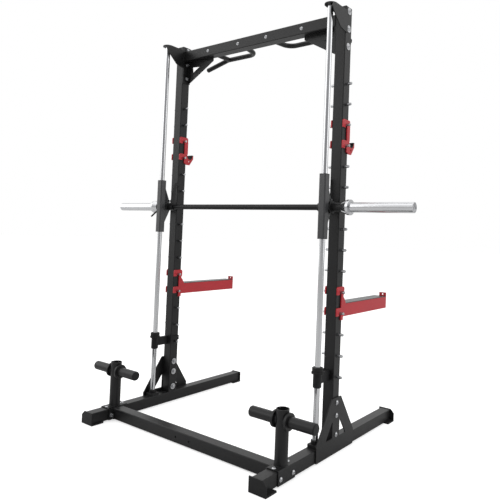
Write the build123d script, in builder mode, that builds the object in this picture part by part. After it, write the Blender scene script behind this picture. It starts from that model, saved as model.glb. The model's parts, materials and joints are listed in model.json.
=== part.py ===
from build123d import *
import os
from math import asin, atan2, cos, degrees, hypot, radians, sin

os.makedirs("parts", exist_ok=True)

# A free-standing smith machine. Millimetres. x runs to the user's right, y to the rear and z up from
# the floor. The origin is on the floor under the middle of the machine. Right-hand pieces are drawn,
# and their left-hand twins are mirror images, apart from the rod brackets and the safety arms.

# ---------------------------------------------------------------- driving dimensions

# square tube and flat plate of the frame
TUBE = 60.0
TUBE_WALL = 2.5
TUBE_CORNER = 4.0
PLATE = 6.0

# main layout
UPRIGHT_X = 591.0
UPRIGHT_Y = -32.0
ROD_Y = UPRIGHT_Y - 132.0
BAR_Y = UPRIGHT_Y - 78.0
CROSSBAR_Y = UPRIGHT_Y - 405.0
BASE_HALF_LENGTH = 609.0
RAIL_BOTTOM = 4.0
UPRIGHT_TOP = 2236.0
BEAM_Z = 2176.0
BAR_Z = 1217.0

# rack pegs through the uprights
PEG_PITCH = 105.0
PEG_COUNT = 15
TOP_PEG_Z = 1847.0
PEG_RADIUS = 7.0
PEG_REACH = 29.0
PEG_CHAMFER = 1.5

# guided bar
ROD_RADIUS = 14.0
SHAFT_RADIUS = 15.0
SLEEVE_RADIUS = 25.0
BAR_HALF_LENGTH = 1035.0
RUNNING_CLEARANCE = 0.05
REST_SWING = 20.0

# weight storage
STORAGE_PEG_Z = 262.0
STORAGE_PEG_RADIUS = 25.0
STORAGE_PEG_HALF_LENGTH = 178.0
POST_RADIUS = 30.0
POST_TOP = 312.0

# fasteners
BOLT_RADIUS = 5.0
BOLT_HOLE_RADIUS = 5.5
WASHER_THICKNESS = 2.5
HEAD_RADIUS = 10.0
HEAD_HEIGHT = 6.0
NUT_RADIUS = 9.8
NUT_HEIGHT = 9.0

# ---------------------------------------------------------------- derived dimensions

RAIL_TOP = RAIL_BOTTOM + TUBE
RAIL_MID_Z = RAIL_BOTTOM + TUBE / 2
INNER_FACE = UPRIGHT_X - TUBE / 2
OUTER_FACE = UPRIGHT_X + TUBE / 2
UPRIGHT_FRONT = UPRIGHT_Y - TUBE / 2
UPRIGHT_REAR = UPRIGHT_Y + TUBE / 2
PEG_HEIGHTS = [TOP_PEG_Z - PEG_PITCH * i for i in range(PEG_COUNT)]
FIT_GAP = 0.1
PLUG_SIZE = TUBE - 2 * TUBE_WALL - 2 * FIT_GAP


# ---------------------------------------------------------------- helpers


def export_sides(right_piece, left_piece, name):
    """Write the right-hand and the left-hand one of two like pieces."""
    for side, piece in (("right", right_piece), ("left", left_piece)):
        piece.label = f"{name}_{side}"
        export_step(piece, f"parts/{piece.label}.step")


def export_pair(right_piece, name):
    """Write a right-hand piece and its mirror image for the left-hand side."""
    export_sides(right_piece, mirror(right_piece, about=Plane.YZ), name)


def square_tube(size=TUBE, wall=TUBE_WALL, corner=TUBE_CORNER):
    """Draw the wall of a square tube in the sketch being made."""
    RectangleRounded(size, size, corner)
    RectangleRounded(size - 2 * wall, size - 2 * wall, corner - wall, mode=Mode.SUBTRACT)


def along_x(x, y, z):
    """A place whose local z axis runs along +x."""
    return Location((x, y, z), (0, 90, 0))


def along_y(x, y, z):
    """A place whose local z axis runs along +y."""
    return Location((x, y, z), (-90, 0, 0))


def dome_head():
    """A domed bolt head on the z axis, its flat side at z = 0."""
    ball_radius = (HEAD_RADIUS**2 + HEAD_HEIGHT**2) / (2 * HEAD_HEIGHT)
    half_angle = asin(HEAD_RADIUS / ball_radius) / 2
    centre_z = HEAD_HEIGHT - ball_radius
    with BuildPart() as head:
        with BuildSketch(Plane.XZ):
            with BuildLine():
                ThreePointArc(
                    (HEAD_RADIUS, 0),
                    (ball_radius * sin(half_angle), centre_z + ball_radius * cos(half_angle)),
                    (0, HEAD_HEIGHT),
                )
                Polyline((0, HEAD_HEIGHT), (0, 0), (HEAD_RADIUS, 0))
            make_face()
        revolve(axis=Axis.Z)
    return head.part


def through_bolt(grip, head_washer_radius, nut_washer_radius):
    """A dome-head bolt on the z axis: the clamped stack lies between z = -grip and z = 0."""
    nut_seat = -grip - WASHER_THICKNESS
    head = dome_head()
    with BuildPart() as bolt:
        with BuildSketch(Plane.XY):
            Circle(head_washer_radius)
        extrude(amount=WASHER_THICKNESS)
        with BuildSketch(Plane.XY.offset(-grip)):
            Circle(nut_washer_radius)
        extrude(amount=-WASHER_THICKNESS)
        with BuildSketch(Plane.XY.offset(nut_seat)):
            RegularPolygon(NUT_RADIUS, 6)
        extrude(amount=-NUT_HEIGHT)
        with BuildSketch(Plane.XY.offset(WASHER_THICKNESS)):
            Circle(BOLT_RADIUS)
        extrude(amount=nut_seat - NUT_HEIGHT - 2 * WASHER_THICKNESS)
        with Locations((0, 0, WASHER_THICKNESS)):
            add(head)
    return bolt.part


def screw(shank_length):
    """A dome-head screw without washer on the z axis, its shank below z = 0."""
    head = dome_head()
    with BuildPart() as fastener:
        with BuildSketch(Plane.XY):
            Circle(BOLT_RADIUS)
        extrude(amount=-shank_length)
        add(head)
    return fastener.part


def drill(places, radius, length):
    """Cut one round hole through the part being made at each place, along its local z axis."""
    with Locations(*places):
        Cylinder(radius, length, mode=Mode.SUBTRACT)


# ---------------------------------------------------------------- base rails and feet

FOOT_PLATE = 6.0
FOOT_INNER_X = INNER_FACE - 10
FOOT_OUTER_X = OUTER_FACE + 24
FOOT_TOP = RAIL_TOP + 3
FOOT_CHAMFER = 21.0
FOOT_SOLE_LENGTH = 75.0
FOOT_LIP_HEIGHT = 8.0
FOOT_PLUG_LENGTH = 30.0
FOOT_PLUG_WALL = 3.0
FOOT_ROUNDING = 2.0
SADDLE_BOLT_SPREAD = 46.0
SADDLE_SCREW_SPREAD = 50.0
SADDLE_BOLT_Z = 30.0

saddle_bolt_places = [along_x(UPRIGHT_X, CROSSBAR_Y + dy, SADDLE_BOLT_Z)
                      for dy in (-SADDLE_BOLT_SPREAD, SADDLE_BOLT_SPREAD)]
saddle_screw_places = [Location((UPRIGHT_X, CROSSBAR_Y + dy, RAIL_TOP))
                       for dy in (-SADDLE_SCREW_SPREAD, SADDLE_SCREW_SPREAD)]

with BuildPart() as base_rail:
    with BuildSketch(Plane.XZ):
        with Locations((UPRIGHT_X, RAIL_MID_Z)):
            square_tube()
    extrude(amount=BASE_HALF_LENGTH - FOOT_PLATE, both=True)
    drill(saddle_bolt_places, BOLT_HOLE_RADIUS, 2 * TUBE)
    drill(saddle_screw_places, BOLT_HOLE_RADIUS, 4 * TUBE_WALL)
export_pair(base_rail.part, "base_rail")

# The foot is a plug in the tube, an end plate with a wing on the outer side, and a sole on the floor.
with BuildPart() as rail_foot:
    with BuildSketch(Plane.XZ.offset(BASE_HALF_LENGTH)):
        with BuildLine():
            Polyline(
                (FOOT_INNER_X, 0),
                (FOOT_OUTER_X, 0),
                (FOOT_OUTER_X, FOOT_TOP - FOOT_CHAMFER),
                (FOOT_OUTER_X - FOOT_CHAMFER, FOOT_TOP),
                (FOOT_INNER_X, FOOT_TOP),
                close=True,
            )
        make_face()
    extrude(amount=-FOOT_PLATE)
    with BuildSketch(Plane.XY):
        with Locations((FOOT_INNER_X, -BASE_HALF_LENGTH)):
            Rectangle(FOOT_OUTER_X - FOOT_INNER_X, FOOT_SOLE_LENGTH, align=(Align.MIN, Align.MIN))
    extrude(amount=RAIL_BOTTOM)
    for lip_start, lip_end in ((FOOT_INNER_X, INNER_FACE), (OUTER_FACE, FOOT_OUTER_X)):
        with BuildSketch(Plane.XY):
            with Locations((lip_start, -BASE_HALF_LENGTH)):
                Rectangle(lip_end - lip_start, FOOT_SOLE_LENGTH, align=(Align.MIN, Align.MIN))
        extrude(amount=FOOT_LIP_HEIGHT)
    with BuildSketch(Plane.XZ.offset(BASE_HALF_LENGTH - FOOT_PLATE)):
        with Locations((UPRIGHT_X, RAIL_MID_Z)):
            RectangleRounded(PLUG_SIZE, PLUG_SIZE, TUBE_CORNER - TUBE_WALL)
            hollow = PLUG_SIZE - 2 * FOOT_PLUG_WALL
            Rectangle(hollow, hollow, mode=Mode.SUBTRACT)
    extrude(amount=-FOOT_PLUG_LENGTH)
    fillet(rail_foot.faces().sort_by(Axis.Y)[0].edges(), FOOT_ROUNDING)
export_pair(rail_foot.part, "rail_foot_front")
export_pair(mirror(rail_foot.part, about=Plane.XZ), "rail_foot_rear")

# ---------------------------------------------------------------- base crossbar

FLANGE_LENGTH = 126.0
CROSSBAR_HOLE_SPREAD = 48.0
CROSSBAR_HOLE_RADIUS = 5.0

with BuildPart() as base_crossbar:
    with BuildSketch(Plane.YZ):
        with Locations((CROSSBAR_Y, RAIL_MID_Z)):
            square_tube()
    extrude(amount=INNER_FACE - PLATE, both=True)
    for side in (-1, 1):
        with BuildSketch(Plane.YZ.offset(side * (INNER_FACE - PLATE))):
            with Locations((CROSSBAR_Y, RAIL_MID_Z)):
                RectangleRounded(FLANGE_LENGTH, TUBE, TUBE_CORNER)
        extrude(amount=side * PLATE)
        flange_places = [along_x(side * INNER_FACE, CROSSBAR_Y + dy, SADDLE_BOLT_Z)
                         for dy in (-SADDLE_BOLT_SPREAD, SADDLE_BOLT_SPREAD)]
        drill(flange_places, BOLT_HOLE_RADIUS, 4 * PLATE)
    drill([along_y(x, CROSSBAR_Y, RAIL_MID_Z) for x in (-CROSSBAR_HOLE_SPREAD, CROSSBAR_HOLE_SPREAD)],
          CROSSBAR_HOLE_RADIUS, 2 * TUBE)
base_crossbar.part.label = "base_crossbar"
export_step(base_crossbar.part, "parts/base_crossbar.step")

# ---------------------------------------------------------------- uprights, caps and rack pegs

GUSSET_BOLT_HEIGHTS = (96.0, 189.0, 252.0)
BEAM_BOLT_HEIGHTS = (2038.0, 2128.0, 2219.0)
CAP_THICKNESS = 5.0
CAP_CHAMFER = 2.0
CAP_PLUG_CLEARANCE = 2.0

gusset_bolt_places = [along_x(UPRIGHT_X, UPRIGHT_Y, z) for z in GUSSET_BOLT_HEIGHTS]
beam_bolt_places = [along_x(UPRIGHT_X, UPRIGHT_Y, z) for z in BEAM_BOLT_HEIGHTS]
peg_places = [along_x(UPRIGHT_X, UPRIGHT_Y, z) for z in PEG_HEIGHTS]

with BuildPart() as upright:
    with BuildSketch(Plane.XY.offset(RAIL_TOP)):
        with Locations((UPRIGHT_X, UPRIGHT_Y)):
            square_tube()
    extrude(amount=UPRIGHT_TOP - RAIL_TOP)
    drill(peg_places, PEG_RADIUS + FIT_GAP, 2 * TUBE)
    drill(gusset_bolt_places + beam_bolt_places, BOLT_HOLE_RADIUS, 2 * TUBE)
export_pair(upright.part, "upright")

with BuildPart() as upright_caps:
    cap_places = [(side * UPRIGHT_X, UPRIGHT_Y) for side in (-1, 1)]
    with BuildSketch(Plane.XY.offset(UPRIGHT_TOP)):
        with Locations(*cap_places):
            RectangleRounded(TUBE, TUBE, TUBE_CORNER)
    extrude(amount=CAP_THICKNESS)
    chamfer(upright_caps.faces().filter_by(Axis.Z).group_by(Axis.Z)[-1].edges(), CAP_CHAMFER)
    with BuildSketch(Plane.XY.offset(UPRIGHT_TOP)):
        with Locations(*cap_places):
            RectangleRounded(PLUG_SIZE, PLUG_SIZE, TUBE_CORNER - TUBE_WALL)
    # The plug ends above the top beam bolt's shank.
    extrude(amount=-(UPRIGHT_TOP - BEAM_BOLT_HEIGHTS[-1] - BOLT_HOLE_RADIUS - CAP_PLUG_CLEARANCE))
upright_caps.part.label = "upright_caps"
export_step(upright_caps.part, "parts/upright_caps.step")

with BuildPart() as rack_pegs:
    with Locations(*[along_x(side * UPRIGHT_X, UPRIGHT_Y, z) for side in (-1, 1) for z in PEG_HEIGHTS]):
        Cylinder(PEG_RADIUS, TUBE + 2 * PEG_REACH)
    chamfer(rack_pegs.edges().filter_by(GeomType.CIRCLE), PEG_CHAMFER)
rack_pegs.part.label = "rack_pegs"
export_step(rack_pegs.part, "parts/rack_pegs.step")

# ---------------------------------------------------------------- base gussets

GUSSET_HALF_BASE = 175.0
GUSSET_SHOULDER_Z = 80.0
GUSSET_HALF_TOP = 42.0
GUSSET_TOP_Z = 277.0
WINDOW_NEAR = 33.0
WINDOW_FAR = 95.0
WINDOW_LOW = 84.0
WINDOW_HIGH = 172.0
GUSSET_ROUNDING = 4.0

with BuildPart() as base_gusset:
    with BuildSketch(Plane.YZ.offset(OUTER_FACE)):
        with BuildLine():
            Polyline(
                (UPRIGHT_Y - GUSSET_HALF_BASE, RAIL_BOTTOM),
                (UPRIGHT_Y + GUSSET_HALF_BASE, RAIL_BOTTOM),
                (UPRIGHT_Y + GUSSET_HALF_BASE, GUSSET_SHOULDER_Z),
                (UPRIGHT_Y + GUSSET_HALF_TOP, GUSSET_TOP_Z),
                (UPRIGHT_Y - GUSSET_HALF_TOP, GUSSET_TOP_Z),
                (UPRIGHT_Y - GUSSET_HALF_BASE, GUSSET_SHOULDER_Z),
                close=True,
            )
        make_face()
        for side in (-1, 1):
            with BuildLine():
                Polyline(
                    (UPRIGHT_Y + side * WINDOW_NEAR, WINDOW_HIGH),
                    (UPRIGHT_Y + side * WINDOW_NEAR, WINDOW_LOW),
                    (UPRIGHT_Y + side * WINDOW_FAR, WINDOW_LOW),
                    close=True,
                )
            make_face(mode=Mode.SUBTRACT)
    extrude(amount=PLATE)
    fillet(base_gusset.edges().filter_by(Axis.X), GUSSET_ROUNDING)
    drill(gusset_bolt_places, BOLT_HOLE_RADIUS, 2 * TUBE)
export_pair(base_gusset.part, "base_gusset")

# ---------------------------------------------------------------- top beam

END_PLATE = 5.0
END_PLATE_BOTTOM = 2008.0
GRIP_BOLT_XS = (105.0, 347.0)

grip_bolt_places = [along_y(side * x, UPRIGHT_Y, BEAM_Z) for side in (-1, 1) for x in GRIP_BOLT_XS]

with BuildPart() as top_beam:
    with BuildSketch(Plane.YZ):
        with Locations((UPRIGHT_Y, BEAM_Z)):
            square_tube()
    extrude(amount=INNER_FACE - END_PLATE, both=True)
    for side in (-1, 1):
        with BuildSketch(Plane.YZ.offset(side * (INNER_FACE - END_PLATE))):
            with Locations((UPRIGHT_Y, (UPRIGHT_TOP + END_PLATE_BOTTOM) / 2)):
                Rectangle(TUBE, UPRIGHT_TOP - END_PLATE_BOTTOM)
        extrude(amount=side * END_PLATE)
        drill([along_x(side * INNER_FACE, UPRIGHT_Y, z) for z in BEAM_BOLT_HEIGHTS],
              BOLT_HOLE_RADIUS, 4 * END_PLATE)
    drill(grip_bolt_places, BOLT_HOLE_RADIUS, 2 * TUBE)
top_beam.part.label = "top_beam"
export_step(top_beam.part, "parts/top_beam.step")

# ---------------------------------------------------------------- gussets under the beam's ends

BEAM_GUSSET_Y = UPRIGHT_Y + 16.0
BEAM_GUSSET_PLATE = 5.0
BEAM_GUSSET_START = 340.0
BEAM_GUSSET_SHALLOW_Z = 2127.0
BEAM_GUSSET_HEEL = 545.0
BEAM_GUSSET_LOW_Z = 2012.0
BEAM_WINDOW = ((519, 2112), (457, 2107), (514, 2075))
BEAM_BOTTOM = BEAM_Z - TUBE / 2

with BuildPart() as beam_gusset:
    with BuildSketch(Plane.XZ.offset(-BEAM_GUSSET_Y - BEAM_GUSSET_PLATE / 2)):
        with BuildLine():
            Polyline(
                (INNER_FACE - END_PLATE, BEAM_BOTTOM),
                (BEAM_GUSSET_START, BEAM_BOTTOM),
                (BEAM_GUSSET_START, BEAM_GUSSET_SHALLOW_Z),
                (BEAM_GUSSET_HEEL, BEAM_GUSSET_LOW_Z),
                (INNER_FACE - END_PLATE, BEAM_GUSSET_LOW_Z),
                close=True,
            )
        make_face()
        with BuildLine():
            Polyline(*BEAM_WINDOW, close=True)
        make_face(mode=Mode.SUBTRACT)
    extrude(amount=BEAM_GUSSET_PLATE)
export_pair(beam_gusset.part, "beam_gusset")

# ---------------------------------------------------------------- pull-up grips

GRIP_RADIUS = 14.0
GRIP_WALL = 2.0
GRIP_FLANGE_RADIUS = 20.0
GRIP_FLANGE = 5.0
GRIP_CROSS_Y = UPRIGHT_Y + 170.0
GRIP_CROSS_START = 127.0
GRIP_CROSS_END = 361.0
GRIP_END_X = 534.0
GRIP_END_DROP = 40.0
GRIP_BEND = 60.0
GRIP_CAP = 4.0
GRIP_CAP_ROUNDING = 3.0
GRIP_CAP_PLUG = 16.0

# From the beam's rear face the tube runs back, then outward, and its free end slopes down.
grip_points = [
    (GRIP_BOLT_XS[0], UPRIGHT_REAR + GRIP_FLANGE, BEAM_Z),
    (GRIP_CROSS_START, GRIP_CROSS_Y, BEAM_Z),
    (GRIP_CROSS_END, GRIP_CROSS_Y, BEAM_Z),
    (GRIP_END_X, GRIP_CROSS_Y, BEAM_Z - GRIP_END_DROP),
]

with BuildPart() as pullup_grip:
    with BuildLine() as grip_line:
        FilletPolyline(*grip_points, radius=GRIP_BEND)
    grip_path = grip_line.wire()
    with BuildSketch(Plane(origin=grip_path @ 0, z_dir=grip_path % 0)):
        Circle(GRIP_RADIUS)
    sweep(path=grip_path)
    strut_place = along_y(GRIP_BOLT_XS[1], UPRIGHT_REAR, BEAM_Z)
    strut_length = GRIP_CROSS_Y - UPRIGHT_REAR
    with Locations(strut_place):
        Cylinder(GRIP_RADIUS, strut_length, align=(Align.CENTER, Align.CENTER, Align.MIN))
    # The tubes are hollow.
    with BuildSketch(Plane(origin=grip_path @ 0, z_dir=grip_path % 0)):
        Circle(GRIP_RADIUS - GRIP_WALL)
    sweep(path=grip_path, mode=Mode.SUBTRACT)
    with Locations(strut_place):
        Cylinder(GRIP_RADIUS - GRIP_WALL, strut_length, align=(Align.CENTER, Align.CENTER, Align.MIN),
                 mode=Mode.SUBTRACT)
    # Both tubes end in a flange on the beam's rear face.
    with Locations(*[along_y(x, UPRIGHT_REAR, BEAM_Z) for x in GRIP_BOLT_XS]):
        Cylinder(GRIP_FLANGE_RADIUS, GRIP_FLANGE, align=(Align.CENTER, Align.CENTER, Align.MIN))
        Cylinder(BOLT_HOLE_RADIUS, 4 * GRIP_FLANGE, mode=Mode.SUBTRACT)
export_pair(pullup_grip.part, "pullup_grip")

with BuildPart() as grip_cap:
    with BuildSketch(Plane(origin=grip_path @ 1, z_dir=grip_path % 1)):
        Circle(GRIP_RADIUS)
    extrude(amount=GRIP_CAP)
    fillet(grip_cap.faces().filter_by(GeomType.PLANE).sort_by(Axis.X)[-1].edges(), GRIP_CAP_ROUNDING)
    with BuildSketch(Plane(origin=grip_path @ 1, z_dir=grip_path % 1)):
        Circle(GRIP_RADIUS - GRIP_WALL - FIT_GAP)
    extrude(amount=-GRIP_CAP_PLUG)
grip_cap_pair = Compound(children=[grip_cap.part, mirror(grip_cap.part, about=Plane.YZ)])
grip_cap_pair.label = "grip_caps"
export_step(grip_cap_pair, "parts/grip_caps.step")

# ---------------------------------------------------------------- guide rods and their mounts

ROD_BOTTOM = RAIL_TOP + 6
BRACKET_Z = 2210.0
BRACKET_PLATE = 5.0
BRACKET_OVERLAP = 12.0
ROD_BASE_SIZE = 56.0
ROD_BASE_HEIGHT = 16.0
ROD_BASE_CORNER = 5.0
ROD_BASE_ROUNDING = 2.0
ROD_COLLAR_CHAMFER = 1.5
ROD_COLLAR_RADIUS = 21.0
ROD_COLLAR_TOP = 98.0
ROD_SCREW_HOLE = 20.0
ROD_CHAMFER = 1.0

with BuildPart() as guide_rod:
    with BuildSketch(Plane.XY.offset(ROD_BOTTOM)):
        with Locations((UPRIGHT_X, ROD_Y)):
            Circle(ROD_RADIUS)
    extrude(amount=BRACKET_Z - ROD_BOTTOM)
    chamfer(guide_rod.edges().filter_by(GeomType.CIRCLE), ROD_CHAMFER)
    with BuildSketch(Plane.XY.offset(BRACKET_Z)):
        with Locations((UPRIGHT_X, ROD_Y)):
            Circle(BOLT_HOLE_RADIUS)
    extrude(amount=-ROD_SCREW_HOLE, mode=Mode.SUBTRACT)
export_pair(guide_rod.part, "guide_rod")

# The bracket's outline from the rod's nose back to the upright: distance behind the rod's axis, and
# distance below the top plate.
BRACKET_OUTLINE = ((-24, 0), (-36, 22), (-17, 45), (46, 98), (87, 106))


def rod_bracket(plate_x, overlap):
    """A side plate at plate_x with a top plate over the rod, which ends in a half round."""
    with BuildPart() as bracket:
        with BuildSketch(Plane.YZ.offset(plate_x)):
            with BuildLine():
                Polyline(
                    (UPRIGHT_FRONT + overlap, BRACKET_Z),
                    *[(ROD_Y + back, BRACKET_Z - down) for back, down in BRACKET_OUTLINE],
                    (UPRIGHT_FRONT + overlap, BRACKET_Z - BRACKET_OUTLINE[-1][1]),
                    close=True,
                )
            make_face()
        extrude(amount=BRACKET_PLATE)
        top_width = TUBE + BRACKET_PLATE
        with BuildSketch(Plane.XY.offset(BRACKET_Z)):
            with Locations((plate_x - TUBE, ROD_Y)):
                Rectangle(top_width, UPRIGHT_FRONT - ROD_Y, align=(Align.MIN, Align.MIN))
            with Locations((plate_x - TUBE + top_width / 2, ROD_Y)):
                Circle(top_width / 2)
            with Locations((plate_x, ROD_Y)):
                Rectangle(BRACKET_PLATE, UPRIGHT_FRONT + overlap - ROD_Y, align=(Align.MIN, Align.MIN))
        extrude(amount=BRACKET_PLATE)
        drill([Location((plate_x - TUBE / 2, ROD_Y, BRACKET_Z))], BOLT_HOLE_RADIUS, 4 * BRACKET_PLATE)
    return bracket.part


# Both side plates are on the right of their upright. The left one stops at the beam's end plate.
export_sides(rod_bracket(OUTER_FACE, BRACKET_OVERLAP), rod_bracket(-INNER_FACE, 0), "rod_bracket")

with BuildPart() as rod_base:
    with BuildSketch(Plane.XY.offset(RAIL_TOP)):
        with Locations((UPRIGHT_X, ROD_Y)):
            RectangleRounded(ROD_BASE_SIZE, ROD_BASE_SIZE, ROD_BASE_CORNER)
    extrude(amount=ROD_BASE_HEIGHT)
    fillet(rod_base.faces().sort_by(Axis.Z)[-1].edges(), ROD_BASE_ROUNDING)
    with BuildSketch(Plane.XY.offset(RAIL_TOP)):
        with Locations((UPRIGHT_X, ROD_Y)):
            Circle(ROD_COLLAR_RADIUS)
    extrude(amount=ROD_COLLAR_TOP - RAIL_TOP)
    chamfer(rod_base.faces().sort_by(Axis.Z)[-1].edges(), ROD_COLLAR_CHAMFER)
    with BuildSketch(Plane.XY.offset(ROD_BOTTOM)):
        with Locations((UPRIGHT_X, ROD_Y)):
            Circle(ROD_RADIUS + FIT_GAP)
    extrude(amount=ROD_COLLAR_TOP - ROD_BOTTOM, mode=Mode.SUBTRACT)
export_pair(rod_base.part, "rod_base")

# ---------------------------------------------------------------- weight storage posts

SADDLE_LENGTH = 126.0
SADDLE_PLATE = 5.0
POST_WALL = 3.0
STORAGE_TUBE_WALL = 2.5
COLLAR_RADIUS = 39.0
COLLAR_THICKNESS = 13.0
COLLAR_CHAMFER = 1.5
SADDLE_BEND = 4.0
STORAGE_CAP_RADIUS = 24.0
STORAGE_CAP_END = 5.0
STORAGE_CAP_PLUG = 18.0
STORAGE_CAP_ROUNDING = 3.0

storage_axis = along_x(UPRIGHT_X, CROSSBAR_Y, STORAGE_PEG_Z)

with BuildPart() as storage_post:
    with BuildSketch(Plane.XY.offset(RAIL_TOP)):
        with Locations((UPRIGHT_X + SADDLE_PLATE / 2, CROSSBAR_Y)):
            Rectangle(TUBE + SADDLE_PLATE, SADDLE_LENGTH)
    extrude(amount=SADDLE_PLATE)
    with BuildSketch(Plane.YZ.offset(OUTER_FACE)):
        with Locations((CROSSBAR_Y, RAIL_MID_Z + SADDLE_PLATE / 2)):
            Rectangle(SADDLE_LENGTH, TUBE + SADDLE_PLATE)
    extrude(amount=SADDLE_PLATE)
    fillet(storage_post.edges().filter_by(Axis.Y).group_by(Axis.Z)[-1].sort_by(Axis.X)[-1], SADDLE_BEND)
    with BuildSketch(Plane.XY.offset(RAIL_TOP)):
        with Locations((UPRIGHT_X, CROSSBAR_Y)):
            Circle(POST_RADIUS)
    extrude(amount=POST_TOP - RAIL_TOP)
    with BuildSketch(Plane.XY.offset(RAIL_TOP + SADDLE_PLATE)):
        with Locations((UPRIGHT_X, CROSSBAR_Y)):
            Circle(POST_RADIUS - POST_WALL)
    extrude(amount=POST_TOP - RAIL_TOP, mode=Mode.SUBTRACT)
    drill([storage_axis], STORAGE_PEG_RADIUS + FIT_GAP, 4 * POST_RADIUS)
    drill(saddle_bolt_places, BOLT_HOLE_RADIUS, 2 * TUBE)
    drill(saddle_screw_places, BOLT_HOLE_RADIUS, 4 * SADDLE_PLATE)
export_pair(storage_post.part, "storage_post")

# One tube runs through the post, with a collar on each side of it.
with BuildPart() as storage_peg:
    with Locations(storage_axis):
        Cylinder(STORAGE_PEG_RADIUS, 2 * (STORAGE_PEG_HALF_LENGTH - STORAGE_CAP_END))
    for side in (-1, 1):
        with Locations(along_x(UPRIGHT_X + side * (POST_RADIUS + FIT_GAP + COLLAR_THICKNESS / 2),
                               CROSSBAR_Y, STORAGE_PEG_Z)):
            Cylinder(COLLAR_RADIUS, COLLAR_THICKNESS)
    collar_edges = storage_peg.edges().filter_by(lambda edge: edge.geom_type == GeomType.CIRCLE
                                                 and edge.radius > STORAGE_PEG_RADIUS + 1)
    chamfer(collar_edges, COLLAR_CHAMFER)
    with Locations(storage_axis):
        Cylinder(STORAGE_PEG_RADIUS - STORAGE_TUBE_WALL, 3 * STORAGE_PEG_HALF_LENGTH, mode=Mode.SUBTRACT)
export_pair(storage_peg.part, "storage_peg")

# The cap is a little smaller than the tube, so that a disc slides over both.
with BuildPart() as storage_cap:
    with BuildSketch(Plane.XY.offset(STORAGE_PEG_HALF_LENGTH)):
        Circle(STORAGE_CAP_RADIUS)
    extrude(amount=-STORAGE_CAP_END)
    fillet(storage_cap.faces().sort_by(Axis.Z)[-1].edges(), STORAGE_CAP_ROUNDING)
    with BuildSketch(Plane.XY.offset(STORAGE_PEG_HALF_LENGTH - STORAGE_CAP_END)):
        Circle(STORAGE_PEG_RADIUS - STORAGE_TUBE_WALL - FIT_GAP)
    extrude(amount=-STORAGE_CAP_PLUG)

with BuildPart() as storage_peg_caps:
    for side in (-1, 1):
        for turn in (-90, 90):
            with Locations(Location((side * UPRIGHT_X, CROSSBAR_Y, STORAGE_PEG_Z), (0, turn, 0))):
                add(storage_cap.part)
storage_peg_caps.part.label = "storage_peg_caps"
export_step(storage_peg_caps.part, "parts/storage_peg_caps.step")

# ---------------------------------------------------------------- carriages on the guide rods

CARRIAGE_SIZE = 40.0
CARRIAGE_WALL = 3.0
CARRIAGE_CORNER = 8.0
CARRIAGE_BOTTOM = 1060.0
CARRIAGE_TOP = 1377.0
BUSHING_LENGTH = 50.0
BUSHING_LIP = 3.0
BAR_PLATE = 8.0
BAR_PLATE_TOP = 1345.0
BAR_PLATE_BOTTOM = 1106.0
HOUSING_RADIUS = 21.5
HOUSING_INNER_X = UPRIGHT_X - 16
HOUSING_OUTER_X = UPRIGHT_X + 8
BUSH_RADIUS = 18.0
STOP_BLOCK = (16.0, 16.0, 9.0)
STOP_BLOCK_BACK = 8.0
STOP_BLOCK_UP = 38.0
PLATE_WELD_DEPTH = 4.0

with BuildPart() as carriage:
    with BuildSketch(Plane.XY.offset(CARRIAGE_BOTTOM + BUSHING_LIP)):
        with Locations((UPRIGHT_X, ROD_Y)):
            RectangleRounded(CARRIAGE_SIZE, CARRIAGE_SIZE, CARRIAGE_CORNER)
    extrude(amount=CARRIAGE_TOP - CARRIAGE_BOTTOM - 2 * BUSHING_LIP)
    # The plate behind the sleeve narrows to the bar's bearing housing.
    plate_root_y = ROD_Y + CARRIAGE_SIZE / 2
    with BuildSketch(Plane.YZ.offset(UPRIGHT_X - BAR_PLATE / 2)):
        with Locations((BAR_Y, BAR_Z)):
            Circle(HOUSING_RADIUS)
        with Locations((plate_root_y, (BAR_PLATE_TOP + BAR_PLATE_BOTTOM) / 2)):
            Rectangle(PLATE_WELD_DEPTH, BAR_PLATE_TOP - BAR_PLATE_BOTTOM)
        make_hull()
    extrude(amount=BAR_PLATE)
    with BuildSketch(Plane.YZ.offset(HOUSING_INNER_X)):
        with Locations((BAR_Y, BAR_Z)):
            Circle(HOUSING_RADIUS)
    extrude(amount=HOUSING_OUTER_X - HOUSING_INNER_X)
    # A small stop block on the plate's upper slope.
    with Locations((UPRIGHT_X, BAR_Y + STOP_BLOCK_BACK, BAR_Z + STOP_BLOCK_UP)):
        Box(*STOP_BLOCK)
    with BuildSketch(Plane.XY.offset(CARRIAGE_BOTTOM)):
        with Locations((UPRIGHT_X, ROD_Y)):
            bore = CARRIAGE_SIZE - 2 * CARRIAGE_WALL
            RectangleRounded(bore, bore, CARRIAGE_CORNER - CARRIAGE_WALL)
    extrude(amount=CARRIAGE_TOP - CARRIAGE_BOTTOM, mode=Mode.SUBTRACT)
    drill([along_x(UPRIGHT_X, BAR_Y, BAR_Z)], BUSH_RADIUS, 2 * CARRIAGE_SIZE)
export_pair(carriage.part, "carriage")

# Four plastic bushings, one in each end of each sleeve, run on the rods.
with BuildPart() as linear_bushing:
    with BuildSketch(Plane.XY.offset(CARRIAGE_TOP - BUSHING_LENGTH)):
        RectangleRounded(bore - 2 * FIT_GAP, bore - 2 * FIT_GAP, CARRIAGE_CORNER - CARRIAGE_WALL)
    extrude(amount=BUSHING_LENGTH)
    with BuildSketch(Plane.XY.offset(CARRIAGE_TOP - BUSHING_LIP)):
        RectangleRounded(CARRIAGE_SIZE, CARRIAGE_SIZE, CARRIAGE_CORNER)
    extrude(amount=BUSHING_LIP)
    Cylinder(ROD_RADIUS + RUNNING_CLEARANCE, 3 * CARRIAGE_TOP, mode=Mode.SUBTRACT)

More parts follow.
